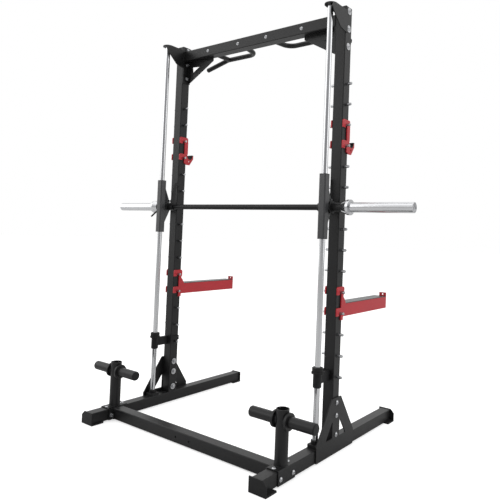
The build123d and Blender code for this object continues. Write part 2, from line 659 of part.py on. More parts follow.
with BuildPart() as carriage_bushings:
    for side in (-1, 1):
        with Locations((side * UPRIGHT_X, ROD_Y, 0)):
            add(linear_bushing.part)
        # The lower bushing is the upper one turned over.
        with Locations(Location((side * UPRIGHT_X, ROD_Y, CARRIAGE_BOTTOM + CARRIAGE_TOP), (180, 0, 0))):
            add(linear_bushing.part)
carriage_bushings.part.label = "carriage_bushings"
export_step(carriage_bushings.part, "parts/carriage_bushings.step")

with BuildPart() as bar_bushes:
    for side in (-1, 1):
        with Locations(along_x(side * (HOUSING_INNER_X + HOUSING_OUTER_X) / 2, BAR_Y, BAR_Z)):
            Cylinder(BUSH_RADIUS, HOUSING_OUTER_X - HOUSING_INNER_X)
            Cylinder(SHAFT_RADIUS + RUNNING_CLEARANCE, BAR_HALF_LENGTH / 4, mode=Mode.SUBTRACT)
bar_bushes.part.label = "bar_bushes"
export_step(bar_bushes.part, "parts/bar_bushes.step")

# ---------------------------------------------------------------- bar

SHAFT_HALF_LENGTH = BAR_HALF_LENGTH - 17
SHAFT_CHAMFER = 1.0
HUB_RING_RADIUS = 31.5
HUB_RING_START = 600.0
HUB_START = 612.0
HUB_END = 668.0
HUB_RADIUS = 24.5
HUB_RING_CHAMFER = 2.0
HOOK_HUB_START = 530.0
HOOK_HUB_END = HOUSING_INNER_X - 1
HOOK_PLATE_START = 545.0
HOOK_PLATE = 8.0
HOOK_HEEL_Y = 6.0
HOOK_THROAT = (2, 26)
HOOK_PEG_GAP = 0.6
FINGER_DEPTH = 14.0
LEVER_RADIUS = 5.0
LEVER_ROUNDING = 2.0
LEVER_REACH = 99.0
LEVER_X = -650.0
LEVER_DROP = 40.0

with BuildPart() as bar_shaft:
    with Locations(along_x(0, BAR_Y, BAR_Z)):
        Cylinder(SHAFT_RADIUS, 2 * SHAFT_HALF_LENGTH)
    chamfer(bar_shaft.edges().filter_by(GeomType.CIRCLE), SHAFT_CHAMFER)
bar_shaft.part.label = "bar_shaft"
export_step(bar_shaft.part, "parts/bar_shaft.step")

with BuildPart() as bar_hubs:
    for side in (-1, 1):
        with BuildSketch(Plane.YZ.offset(side * HUB_RING_START)):
            with Locations((BAR_Y, BAR_Z)):
                Circle(HUB_RING_RADIUS)
                Circle(SHAFT_RADIUS, mode=Mode.SUBTRACT)
        extrude(amount=side * (HUB_START - HUB_RING_START))
        with BuildSketch(Plane.YZ.offset(side * HUB_START)):
            with Locations((BAR_Y, BAR_Z)):
                Circle(HUB_RADIUS)
                Circle(SHAFT_RADIUS, mode=Mode.SUBTRACT)
        extrude(amount=side * (HUB_END - HUB_START))
    rim_edges = bar_hubs.edges().filter_by(lambda edge: edge.geom_type == GeomType.CIRCLE
                                           and edge.radius > HUB_RADIUS + 1)
    chamfer(rim_edges, HUB_RING_CHAMFER)
bar_hubs.part.label = "bar_hubs"
export_step(bar_hubs.part, "parts/bar_hubs.step")

# The hook's finger lies on a circle round the bar, so that turning the bar swings it on to a peg.
hooked_peg_z = min(z for z in PEG_HEIGHTS if z > BAR_Z + 2 * PEG_RADIUS + HOUSING_RADIUS)
hook_reach = hypot(UPRIGHT_Y - BAR_Y, hooked_peg_z - BAR_Z)
latched_angle = degrees(atan2(UPRIGHT_Y - BAR_Y, hooked_peg_z - BAR_Z))
rest_angle = radians(latched_angle - REST_SWING)
hook_plane = Plane(
    origin=(HOOK_PLATE_START, BAR_Y, BAR_Z),
    x_dir=(0, cos(rest_angle), -sin(rest_angle)),
    z_dir=(1, 0, 0),
)
finger_inner = hook_reach + PEG_RADIUS + HOOK_PEG_GAP
finger_outer = finger_inner + FINGER_DEPTH
FINGER_TIP = radians(4.5)
FINGER_ROOT = radians(-4.0)
HOOK_HEEL = radians(-13.0)


def on_circle(radius, angle):
    """A point at this radius from the bar's axis, by its angle from the hook's middle line."""
    return (radius * sin(angle), radius * cos(angle))


with BuildPart() as lock_hook:
    with BuildSketch(hook_plane):
        with BuildLine():
            inner_arc = ThreePointArc(
                on_circle(finger_inner, FINGER_TIP),
                on_circle(finger_inner, (FINGER_TIP + FINGER_ROOT) / 2),
                on_circle(finger_inner, FINGER_ROOT),
            )
            outer_arc = ThreePointArc(
                on_circle(finger_outer, HOOK_HEEL),
                on_circle(finger_outer, (HOOK_HEEL + FINGER_TIP) / 2),
                on_circle(finger_outer, FINGER_TIP),
            )
            Line(outer_arc @ 1, inner_arc @ 0)
            Polyline(
                inner_arc @ 1,
                (inner_arc @ 1) - Vector(*HOOK_THROAT),
                (HOUSING_RADIUS - 3, HOOK_HEEL_Y),
                (-HOUSING_RADIUS + 1, HOOK_HEEL_Y),
                outer_arc @ 0,
            )
        make_face()
        Circle(HOUSING_RADIUS)
    extrude(amount=HOOK_PLATE)
    with BuildSketch(Plane.YZ.offset(HOOK_HUB_START)):
        with Locations((BAR_Y, BAR_Z)):
            Circle(HOUSING_RADIUS)
    extrude(amount=HOOK_HUB_END - HOOK_HUB_START)
    with Locations(along_x(HOOK_HUB_START, BAR_Y, BAR_Z)):
        Cylinder(SHAFT_RADIUS, 4 * TUBE, mode=Mode.SUBTRACT)
export_pair(lock_hook.part, "lock_hook")

# The finger lever stands out of the left hub, forward and down.
lever_direction = Vector(0, -cos(radians(LEVER_DROP)), -sin(radians(LEVER_DROP)))
with BuildPart() as bar_lever:
    with BuildSketch(Plane(origin=(LEVER_X, BAR_Y, BAR_Z), z_dir=lever_direction)):
        Circle(LEVER_RADIUS)
    extrude(amount=LEVER_REACH)
    fillet(bar_lever.faces().sort_by(Axis.Z)[0].edges(), LEVER_ROUNDING)
    with Locations(along_x(LEVER_X, BAR_Y, BAR_Z)):
        Cylinder(HUB_RADIUS, 6 * LEVER_RADIUS, mode=Mode.SUBTRACT)
bar_lever.part.label = "bar_lever"
export_step(bar_lever.part, "parts/bar_lever.step")

# ---------------------------------------------------------------- rotating plate sleeves

SLEEVE_START = 670.0
FLANGE_RADIUS = 38.5
FLANGE_RIM_START = 699.0
FLANGE_END = 713.0
SLEEVE_ROUNDING = 1.5
CAP_RECESS = 13.0
CAP_RADIUS = 21.0
CAP_SET_BACK = 1.0
CAP_RIM = 4.0
CAP_DISH = 4.0
CAP_BOSS_RADIUS = 7.0
CAP_BOSS_RISE = 3.0

with BuildPart() as plate_sleeve:
    with BuildSketch(Plane.XY):
        with BuildLine():
            Polyline(
                (SLEEVE_START, SHAFT_RADIUS + RUNNING_CLEARANCE),
                (SLEEVE_START, SLEEVE_RADIUS + 2),
                (FLANGE_RIM_START, FLANGE_RADIUS),
                (FLANGE_END, FLANGE_RADIUS),
                (FLANGE_END, SLEEVE_RADIUS),
                (BAR_HALF_LENGTH, SLEEVE_RADIUS),
                (BAR_HALF_LENGTH, CAP_RADIUS),
                (BAR_HALF_LENGTH - CAP_RECESS, CAP_RADIUS),
                (BAR_HALF_LENGTH - CAP_RECESS, SHAFT_RADIUS + RUNNING_CLEARANCE),
                close=True,
            )
        make_face()
    revolve(axis=Axis.X)
    outer_rings = plate_sleeve.edges().filter_by(
        lambda edge: edge.geom_type == GeomType.CIRCLE
        and edge.radius > CAP_RADIUS + 1
        and edge.center().X > SLEEVE_START + 1
        and (edge.radius > SLEEVE_RADIUS + 1 or edge.center().X > BAR_HALF_LENGTH - 1)
    )
    fillet(outer_rings, SLEEVE_ROUNDING)
sleeve = plate_sleeve.part.moved(Location((0, BAR_Y, BAR_Z)))
export_pair(sleeve, "plate_sleeve")

with BuildPart() as sleeve_cap:
    with BuildSketch(Plane.XY):
        with BuildLine():
            cap_start = BAR_HALF_LENGTH - CAP_RECESS
            cap_face = BAR_HALF_LENGTH - CAP_SET_BACK
            dish_floor = cap_face - CAP_DISH
            boss_top = dish_floor + CAP_BOSS_RISE
            Polyline(
                (cap_start, 0),
                (cap_start, CAP_RADIUS),
                (cap_face, CAP_RADIUS),
                (cap_face, CAP_RADIUS - CAP_RIM),
                (dish_floor, CAP_RADIUS - CAP_RIM - CAP_BOSS_RISE),
                (dish_floor, CAP_BOSS_RADIUS),
                (boss_top, CAP_BOSS_RADIUS - 2),
                (boss_top, 0),
                close=True,
            )
        make_face()
    revolve(axis=Axis.X)
export_pair(sleeve_cap.part.moved(Location((0, BAR_Y, BAR_Z))), "sleeve_cap")

# ---------------------------------------------------------------- stops on the guide rods

BUMPER_TOP = 443.0
BUMPER_BOTTOM = 413.0
BUMPER_RADIUS = 27.0
BUMPER_LIP_RADIUS = 30.0
BUMPER_LIP = 8.0
BUMPER_ROUNDING = 3.0
STOP_BODY_RADIUS = 21.0
STOP_BODY_BOTTOM = 345.0
STOP_BODY_ROUNDING = 6.0
STOP_ARM_BOTTOM = 362.0
STOP_ARM_TOP = 412.0
STOP_ARM_WIDTH = 16.0
STOP_BAND = 5.0
STOP_GAP = 1.5
STOP_PEG_GAP = 0.4
STOP_NOTCH_MARGIN = 5.0
BUMPER_GAP = 0.3
LOW_PEG_Z = PEG_HEIGHTS[-1]

with BuildPart() as stop_bumper:
    with BuildSketch(Plane.XY.offset(BUMPER_BOTTOM)):
        with Locations((UPRIGHT_X, ROD_Y)):
            Circle(BUMPER_LIP_RADIUS)
    extrude(amount=BUMPER_LIP)
    with BuildSketch(Plane.XY.offset(BUMPER_BOTTOM)):
        with Locations((UPRIGHT_X, ROD_Y)):
            Circle(BUMPER_RADIUS)
    extrude(amount=BUMPER_TOP - BUMPER_BOTTOM)
    fillet(stop_bumper.faces().sort_by(Axis.Z)[-1].edges(), BUMPER_ROUNDING)
    with Locations((UPRIGHT_X, ROD_Y, BUMPER_BOTTOM)):
        Cylinder(ROD_RADIUS + RUNNING_CLEARANCE, 4 * TUBE, mode=Mode.SUBTRACT)
export_pair(stop_bumper.part, "stop_bumper")

# The arm runs back from the rod to a band on the upright's front and inner faces. The band's side
# part sits over the lowest rack peg.
band_front_y = UPRIGHT_FRONT - STOP_GAP - STOP_BAND
band_side_x = INNER_FACE - STOP_GAP - STOP_BAND
notch_y = UPRIGHT_Y - PEG_RADIUS - STOP_NOTCH_MARGIN
notch_z = LOW_PEG_Z + PEG_RADIUS + STOP_PEG_GAP

with BuildPart() as rod_stop:
    with BuildSketch(Plane.XY.offset(STOP_BODY_BOTTOM)):
        with Locations((UPRIGHT_X, ROD_Y)):
            Circle(STOP_BODY_RADIUS)
    extrude(amount=BUMPER_BOTTOM - BUMPER_GAP - STOP_BODY_BOTTOM)
    fillet(rod_stop.faces().sort_by(Axis.Z)[0].edges(), STOP_BODY_ROUNDING)
    with BuildSketch(Plane.XY.offset(STOP_ARM_BOTTOM)):
        with Locations((UPRIGHT_X - STOP_ARM_WIDTH / 2, ROD_Y)):
            Rectangle(STOP_ARM_WIDTH, band_front_y + STOP_BAND - ROD_Y, align=(Align.MIN, Align.MIN))
        with Locations((band_side_x, band_front_y)):
            Rectangle(UPRIGHT_X + STOP_ARM_WIDTH / 2 - band_side_x, STOP_BAND, align=(Align.MIN, Align.MIN))
    extrude(amount=STOP_ARM_TOP - STOP_ARM_BOTTOM)
    with BuildSketch(Plane.YZ.offset(band_side_x)):
        with BuildLine():
            Polyline(
                (band_front_y, STOP_ARM_BOTTOM),
                (notch_y, STOP_ARM_BOTTOM),
                (notch_y, notch_z),
                (UPRIGHT_REAR, notch_z),
                (UPRIGHT_REAR, STOP_ARM_TOP),
                (band_front_y, STOP_ARM_TOP),
                close=True,
            )
        make_face()
    extrude(amount=STOP_BAND)
    with Locations((UPRIGHT_X, ROD_Y, STOP_BODY_BOTTOM)):
        Cylinder(ROD_RADIUS + RUNNING_CLEARANCE, 4 * TUBE, mode=Mode.SUBTRACT)
export_pair(rod_stop.part, "rod_stop")

# ---------------------------------------------------------------- J-hooks and safety arms

CHEEK = 6.0
CHEEK_GAP = 1.0
EAR_FRONT = UPRIGHT_Y - 32.0
EAR_REAR = UPRIGHT_Y + 36.0
EAR_TOP = 27.0
EAR_BOTTOM = 13.0
EAR_CORNER = 10.0
NOTCH_RADIUS = PEG_RADIUS + 0.5
STRIP_FRONT = UPRIGHT_Y + 9.0
WEB_FRONT = UPRIGHT_REAR + 1.5
WEB = 6.0

inner_cheek_x = INNER_FACE - CHEEK_GAP - CHEEK
outer_cheek_x = OUTER_FACE + CHEEK_GAP
hook_width = outer_cheek_x + CHEEK - inner_cheek_x


def rectangle_between(low, high, mode=Mode.ADD):
    """Draw a rectangle by two opposite corners in the sketch being made."""
    with Locations(((low[0] + high[0]) / 2, (low[1] + high[1]) / 2)):
        Rectangle(high[0] - low[0], high[1] - low[1], mode=mode)


def ear(peg_z):
    """Draw an ear that hooks over a rack peg."""
    corner_z = peg_z + EAR_TOP - EAR_CORNER
    rectangle_between((EAR_FRONT, peg_z - EAR_BOTTOM), (EAR_REAR, corner_z))
    rectangle_between((EAR_FRONT + EAR_CORNER, peg_z), (EAR_REAR - EAR_CORNER, peg_z + EAR_TOP))
    with Locations((EAR_FRONT + EAR_CORNER, corner_z), (EAR_REAR - EAR_CORNER, corner_z)):
        Circle(EAR_CORNER)


def peg_notch(peg_z, floor_z):
    """Cut the notch that drops over a rack peg, open down to floor_z."""
    with Locations((UPRIGHT_Y, peg_z)):
        Circle(NOTCH_RADIUS, mode=Mode.SUBTRACT)
    rectangle_between((UPRIGHT_Y - NOTCH_RADIUS, floor_z), (UPRIGHT_Y + NOTCH_RADIUS, peg_z),
                      mode=Mode.SUBTRACT)


# J-hook
HOOK_PEGS = (PEG_HEIGHTS[3], PEG_HEIGHTS[2])
CUP_Y = UPRIGHT_Y + 56.0
CUP_Z = 1550.0
CUP_RADIUS = 22.0
LINER = 5.0
LIP_TOP = 1554.0
LIP_REAR = UPRIGHT_Y + 86.0
LIP_BOTTOM = 1535.0
CUP_FLOOR_Z = 1493.0
CUP_FLOOR_REAR = UPRIGHT_Y + 56.0
FRONT_CORNER = 10.0
STRIP_STEP = 6.0
PIN_HOLE = (UPRIGHT_Y + 52.0, 1516.0)
PIN_HOLE_RADIUS = 5.0

with BuildPart() as j_hook:
    for cheek_x in (inner_cheek_x, outer_cheek_x):
        with BuildSketch(Plane.YZ.offset(cheek_x)):
            for peg_z in HOOK_PEGS:
                ear(peg_z)
            rectangle_between((STRIP_FRONT, HOOK_PEGS[0]), (EAR_REAR, HOOK_PEGS[1]))
            with BuildLine():
                Polyline(
                    (STRIP_FRONT, LIP_TOP),
                    (STRIP_FRONT, CUP_FLOOR_Z + FRONT_CORNER),
                    (EAR_REAR - STRIP_STEP, CUP_FLOOR_Z),
                    (CUP_FLOOR_REAR, CUP_FLOOR_Z),
                    (LIP_REAR, LIP_BOTTOM),
                    (LIP_REAR, LIP_TOP),
                    close=True,
                )
            make_face()
            for peg_z in HOOK_PEGS:
                peg_notch(peg_z, peg_z - PEG_PITCH / 2)
            with Locations((CUP_Y, CUP_Z)):
                Circle(CUP_RADIUS, mode=Mode.SUBTRACT)
            rectangle_between((EAR_REAR, CUP_Z), (CUP_Y + CUP_RADIUS, LIP_TOP + 1), mode=Mode.SUBTRACT)
            with Locations(PIN_HOLE):
                Circle(PIN_HOLE_RADIUS, mode=Mode.SUBTRACT)
        extrude(amount=CHEEK)
    # The web behind the upright and the curved seat join the cheeks.
    with BuildSketch(Plane.YZ.offset(inner_cheek_x)):
        rectangle_between((WEB_FRONT, CUP_Z), (WEB_FRONT + WEB, HOOK_PEGS[1]))
        with Locations((CUP_Y, CUP_Z)):
            Circle(CUP_RADIUS + LINER)
            Circle(CUP_RADIUS, mode=Mode.SUBTRACT)
        rectangle_between((CUP_Y - 2 * CUP_RADIUS, CUP_Z - 3 * CUP_RADIUS), (WEB_FRONT, HOOK_PEGS[1]),
                          mode=Mode.SUBTRACT)
        rectangle_between((WEB_FRONT + WEB, CUP_Z), (LIP_REAR + LINER, HOOK_PEGS[1]), mode=Mode.SUBTRACT)
    extrude(amount=hook_width)
export_pair(j_hook.part, "j_hook")

with BuildPart() as j_hook_liner:
    with BuildSketch(Plane.YZ.offset(inner_cheek_x)):
        with Locations((CUP_Y, CUP_Z)):
            Circle(CUP_RADIUS)
            Circle(CUP_RADIUS - LINER, mode=Mode.SUBTRACT)
        rectangle_between((CUP_Y - CUP_RADIUS, CUP_Z), (CUP_Y + CUP_RADIUS, CUP_Z + 2 * CUP_RADIUS),
                          mode=Mode.SUBTRACT)
        rectangle_between((CUP_Y + CUP_RADIUS - LINER, CUP_Z), (CUP_Y + CUP_RADIUS, LIP_TOP))
        rectangle_between((CUP_Y + CUP_RADIUS - LINER, LIP_TOP), (LIP_REAR, LIP_TOP + LINER))
        rectangle_between((CUP_Y - 2 * CUP_RADIUS, CUP_Z - 2 * CUP_RADIUS), (WEB_FRONT + WEB, CUP_Z),
                          mode=Mode.SUBTRACT)
    extrude(amount=hook_width)
export_pair(j_hook_liner.part, "j_hook_liner")

# Safety arm
ARM_PEGS = (PEG_HEIGHTS[11], PEG_HEIGHTS[10])
ARM_TOP = 737.0
ARM_BOTTOM = 674.0
ARM_END = UPRIGHT_Y + 520.0
ARM_TAIL = 657.0
ARM_TAB_TOP = 761.0
ARM_TAB_WIDTH = 42.0
ARM_TAB_HOLE = 5.0
ARM_WEB = 5.0
ARM_PAD = 3.5
ARM_PAD_START = UPRIGHT_Y + 55.0
PAD_MARGIN = 1.0
PAD_CHAMFER = 1.5
BRACE_START = 769.0

with BuildPart() as safety_arm:
    for cheek_x in (inner_cheek_x, outer_cheek_x):
        with BuildSketch(Plane.YZ.offset(cheek_x)):
            for peg_z in ARM_PEGS:
                ear(peg_z)
            rectangle_between((STRIP_FRONT, ARM_TAIL), (EAR_REAR - STRIP_STEP, ARM_PEGS[1]))
            with BuildLine():
                Polyline(
                    (STRIP_FRONT, ARM_BOTTOM),
                    (ARM_END, ARM_BOTTOM),
                    (ARM_END, ARM_TOP),
                    (ARM_PAD_START, ARM_TOP),
                    (EAR_REAR, BRACE_START),
                    (STRIP_FRONT, BRACE_START),
                    close=True,
                )
            make_face()
            for peg_z in ARM_PEGS:
                peg_notch(peg_z, peg_z - PEG_PITCH / 2)
        extrude(amount=CHEEK)
    # The web behind the upright, the top plate under the pad and the end plate join the cheeks.
    with BuildSketch(Plane.YZ.offset(inner_cheek_x)):
        rectangle_between((WEB_FRONT, ARM_BOTTOM), (WEB_FRONT + WEB, BRACE_START))
        rectangle_between((ARM_PAD_START, ARM_TOP - ARM_WEB), (ARM_END, ARM_TOP))
        rectangle_between((ARM_END - ARM_WEB, ARM_BOTTOM), (ARM_END, ARM_TOP))
    extrude(amount=hook_width)
    # A tab stands up from the right half of the end plate.
    tab_right_x = outer_cheek_x + CHEEK
    with BuildSketch(Plane.XZ.offset(ARM_WEB - ARM_END)):
        rectangle_between((tab_right_x - ARM_TAB_WIDTH, ARM_TOP), (tab_right_x, ARM_TAB_TOP))
    extrude(amount=-ARM_WEB)
    tab_hole_z = (ARM_TOP + ARM_PAD + ARM_TAB_TOP) / 2
    drill([along_y(tab_right_x - ARM_TAB_WIDTH / 2, ARM_END, tab_hole_z)], ARM_TAB_HOLE, 4 * ARM_WEB)
# The left arm is the same piece as the right one, not its mirror image.
left_arm = safety_arm.part.moved(Location((-2 * UPRIGHT_X, 0, 0)))
export_sides(safety_arm.part, left_arm, "safety_arm")

with BuildPart() as safety_arm_pad:
    with BuildSketch(Plane.XY.offset(ARM_TOP)):
        rectangle_between((inner_cheek_x + PAD_MARGIN, ARM_PAD_START + PAD_MARGIN),
                          (outer_cheek_x + CHEEK - PAD_MARGIN, ARM_END - ARM_WEB))
    extrude(amount=ARM_PAD)
    chamfer(safety_arm_pad.faces().sort_by(Axis.Z)[-1].edges().filter_by(Axis.Y), PAD_CHAMFER)
export_pair(safety_arm_pad.part, "safety_arm_pad")

# ---------------------------------------------------------------- fasteners

LARGE_WASHER = 18.0
SMALL_WASHER = 12.0
GUSSET_GRIP = TUBE + PLATE
BEAM_GRIP = TUBE + END_PLATE
SADDLE_GRIP = TUBE + SADDLE_PLATE + PLATE
GRIP_SCREW_LENGTH = TUBE + GRIP_FLANGE + 10


def facing_out(side, head_x, y, z):
    """A place on the left or right side whose local z axis points away from the machine's middle."""
    return Location((side * head_x, y, z), (0, side * 90, 0))


gusset_bolt = through_bolt(GUSSET_GRIP, HEAD_RADIUS + 2, LARGE_WASHER)
with BuildPart() as gusset_bolts:
    with Locations(*[facing_out(side, OUTER_FACE + PLATE, UPRIGHT_Y, z)
                     for side in (-1, 1) for z in GUSSET_BOLT_HEIGHTS]):
        add(gusset_bolt)
gusset_bolts.part.label = "gusset_bolts"
export_step(gusset_bolts.part, "parts/gusset_bolts.step")

beam_bolt = through_bolt(BEAM_GRIP, LARGE_WASHER, SMALL_WASHER)
with BuildPart() as beam_bolts:
    with Locations(*[facing_out(side, OUTER_FACE, UPRIGHT_Y, z)
                     for side in (-1, 1) for z in BEAM_BOLT_HEIGHTS]):
        add(beam_bolt)
beam_bolts.part.label = "beam_bolts"
export_step(beam_bolts.part, "parts/beam_bolts.step")

grip_bolt = screw(GRIP_SCREW_LENGTH)
with BuildPart() as grip_bolts:
    with Locations(*[Location((side * x, UPRIGHT_FRONT, BEAM_Z), (90, 0, 0))
                     for side in (-1, 1) for x in GRIP_BOLT_XS]):
        add(grip_bolt)
grip_bolts.part.label = "grip_bolts"
export_step(grip_bolts.part, "parts/grip_bolts.step")

base_bolt = through_bolt(SADDLE_GRIP, HEAD_RADIUS + 1, SMALL_WASHER)
saddle_screw = screw(SADDLE_PLATE + 4 * TUBE_WALL)
with BuildPart() as base_bolts:
    with Locations(*[facing_out(side, OUTER_FACE + SADDLE_PLATE, CROSSBAR_Y + dy, SADDLE_BOLT_Z)
                     for side in (-1, 1) for dy in (-SADDLE_BOLT_SPREAD, SADDLE_BOLT_SPREAD)]):
        add(base_bolt)
    with Locations(*[Location((side * UPRIGHT_X, CROSSBAR_Y + dy, RAIL_TOP + SADDLE_PLATE))
                     for side in (-1, 1) for dy in (-SADDLE_SCREW_SPREAD, SADDLE_SCREW_SPREAD)]):
        add(saddle_screw)
base_bolts.part.label = "base_bolts"
export_step(base_bolts.part, "parts/base_bolts.step")

rod_bolt = screw(BRACKET_PLATE + ROD_SCREW_HOLE / 2)
with BuildPart() as rod_bolts:
    with Locations(*[(side * UPRIGHT_X, ROD_Y, BRACKET_Z + BRACKET_PLATE) for side in (-1, 1)]):
        add(rod_bolt)
rod_bolts.part.label = "rod_bolts"
export_step(rod_bolts.part, "parts/rod_bolts.step")
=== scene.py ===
import json
from math import asin, cos, pi, radians, sin

import bmesh
import bpy
from mathutils import Matrix, Vector


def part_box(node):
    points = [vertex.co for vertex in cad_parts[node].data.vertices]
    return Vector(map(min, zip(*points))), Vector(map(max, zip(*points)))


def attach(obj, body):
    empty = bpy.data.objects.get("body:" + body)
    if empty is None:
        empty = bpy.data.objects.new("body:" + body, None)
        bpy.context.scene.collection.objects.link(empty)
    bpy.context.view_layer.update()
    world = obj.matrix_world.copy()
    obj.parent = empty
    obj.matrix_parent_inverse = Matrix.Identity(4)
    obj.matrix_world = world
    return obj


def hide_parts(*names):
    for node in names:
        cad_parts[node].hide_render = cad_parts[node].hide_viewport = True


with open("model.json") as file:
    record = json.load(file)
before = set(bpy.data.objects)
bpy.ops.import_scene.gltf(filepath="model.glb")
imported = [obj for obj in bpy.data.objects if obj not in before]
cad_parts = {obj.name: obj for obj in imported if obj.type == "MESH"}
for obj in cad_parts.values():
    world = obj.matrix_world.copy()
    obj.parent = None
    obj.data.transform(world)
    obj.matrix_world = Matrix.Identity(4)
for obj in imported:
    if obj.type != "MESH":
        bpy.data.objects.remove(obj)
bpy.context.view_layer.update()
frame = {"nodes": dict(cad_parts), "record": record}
MM = 0.001

# ------------------------------------------------------------------ camera

# The place is in metres, in the object's frame, and the angles are in degrees. The lens looks slightly
# upwards, and its shift places the object in the frame.
CAMERA_PLACE = Vector((1.9751, -2.3596, 1.0828))
CAMERA_HEADING = -36.511
CAMERA_TILT_UP = 1.809
CAMERA_ROLL = 2.191
SENSOR_MM = 36.0
LENS_MM = 38.41128
LENS_SHIFT = (-0.06628, -0.06822)
FAR_CLIP = 200.0

camera_data = bpy.data.cameras.new("camera")
camera_data.sensor_width = SENSOR_MM
camera_data.lens = LENS_MM
camera_data.shift_x, camera_data.shift_y = LENS_SHIFT
camera_data.clip_end = FAR_CLIP
camera = bpy.data.objects.new("camera", camera_data)
bpy.context.scene.collection.objects.link(camera)
heading, tilt, roll = radians(CAMERA_HEADING), radians(CAMERA_TILT_UP), radians(CAMERA_ROLL)
ahead = Vector((sin(heading) * cos(tilt), cos(heading) * cos(tilt), sin(tilt)))
level_right = Vector((cos(heading), -sin(heading), 0))
level_up = level_right.cross(ahead)
right = cos(roll) * level_right + sin(roll) * level_up
up = -sin(roll) * level_right + cos(roll) * level_up
turn = Matrix((right, up, -ahead)).transposed().to_4x4()
camera.matrix_world = Matrix.Translation(CAMERA_PLACE) @ turn
bpy.context.scene.camera = camera

# ------------------------------------------------------------------ materials

# Noise values lie mostly between these two.
NOISE_LOW = 0.3
NOISE_HIGH = 0.7
# Noise scales are in waves per metre.
BLOTCH_SCALE = 9.0
SCUFF_SCALE = 70.0
SCUFF_START = 0.66
SCUFF_FULL = 0.80
RELIEF_DEPTH = 0.4 * MM
LEAST_ROUGHNESS = 0.02


def noise(nodes, links, place, scale, detail, roughness=0.5):
    """A noise texture in the object's own space."""
    texture = nodes.new("ShaderNodeTexNoise")
    texture.inputs["Scale"].default_value = scale
    texture.inputs["Detail"].default_value = detail
    texture.inputs["Roughness"].default_value = roughness
    links.new(place.outputs["Object"], texture.inputs["Vector"])
    return texture


def finish(name, color, roughness, metallic=0.0, spread=0.0, rough_spread=0.0, grain=900.0, bump=0.0,
           specular=0.5, wear=None):
    """A procedural finish: broad colour variation, fine grain in roughness and bump, and light wear.
    Wear is a colour and how strongly the scuffs show."""
    material = bpy.data.materials.new(name)
    material.use_nodes = True
    nodes, links = material.node_tree.nodes, material.node_tree.links
    shader = nodes["Principled BSDF"]
    shader.inputs["Metallic"].default_value = metallic
    shader.inputs["Specular IOR Level"].default_value = specular
    place = nodes.new("ShaderNodeTexCoord")
    broad = noise(nodes, links, place, BLOTCH_SCALE, 6, 0.6)
    fine = noise(nodes, links, place, grain, 3)

    ramp = nodes.new("ShaderNodeValToRGB")
    ramp.color_ramp.elements[0].position = NOISE_LOW
    ramp.color_ramp.elements[1].position = NOISE_HIGH
    ramp.color_ramp.elements[0].color = [c * (1 - spread) for c in color] + [1]
    ramp.color_ramp.elements[1].color = [min(1, c * (1 + spread)) for c in color] + [1]
    links.new(broad.outputs["Fac"], ramp.inputs["Fac"])
    color_out = ramp.outputs["Color"]
    if wear:
        scuffs = noise(nodes, links, place, SCUFF_SCALE, 8, 0.75)
        marks = nodes.new("ShaderNodeValToRGB")
        marks.color_ramp.elements[0].position = SCUFF_START
        marks.color_ramp.elements[1].position = SCUFF_FULL
        marks.color_ramp.elements[1].color = (wear[3], wear[3], wear[3], 1)
        links.new(scuffs.outputs["Fac"], marks.inputs["Fac"])
        worn = nodes.new("ShaderNodeMix")
        worn.data_type = "RGBA"
        worn.inputs["B"].default_value = (wear[0], wear[1], wear[2], 1)
        links.new(marks.outputs["Color"], worn.inputs["Factor"])
        links.new(color_out, worn.inputs["A"])
        color_out = worn.outputs["Result"]
    links.new(color_out, shader.inputs["Base Color"])

    rough = nodes.new("ShaderNodeMapRange")
    rough.inputs["From Min"].default_value = NOISE_LOW
    rough.inputs["From Max"].default_value = NOISE_HIGH
    rough.inputs["To Min"].default_value = max(LEAST_ROUGHNESS, roughness - rough_spread)
    rough.inputs["To Max"].default_value = roughness + rough_spread
    mixed = nodes.new("ShaderNodeMath")
    mixed.operation = "ADD"
    half = nodes.new("ShaderNodeMath")
    half.operation = "MULTIPLY"
    half.inputs[1].default_value = 0.5
    links.new(broad.outputs["Fac"], mixed.inputs[0])
    links.new(fine.outputs["Fac"], mixed.inputs[1])
    links.new(mixed.outputs["Value"], half.inputs[0])
    links.new(half.outputs["Value"], rough.inputs["Value"])
    links.new(rough.outputs["Result"], shader.inputs["Roughness"])
    if bump:
        relief = nodes.new("ShaderNodeBump")
        relief.inputs["Strength"].default_value = bump
        relief.inputs["Distance"].default_value = RELIEF_DEPTH
        links.new(fine.outputs["Fac"], relief.inputs["Height"])
        links.new(relief.outputs["Normal"], shader.inputs["Normal"])
    return material


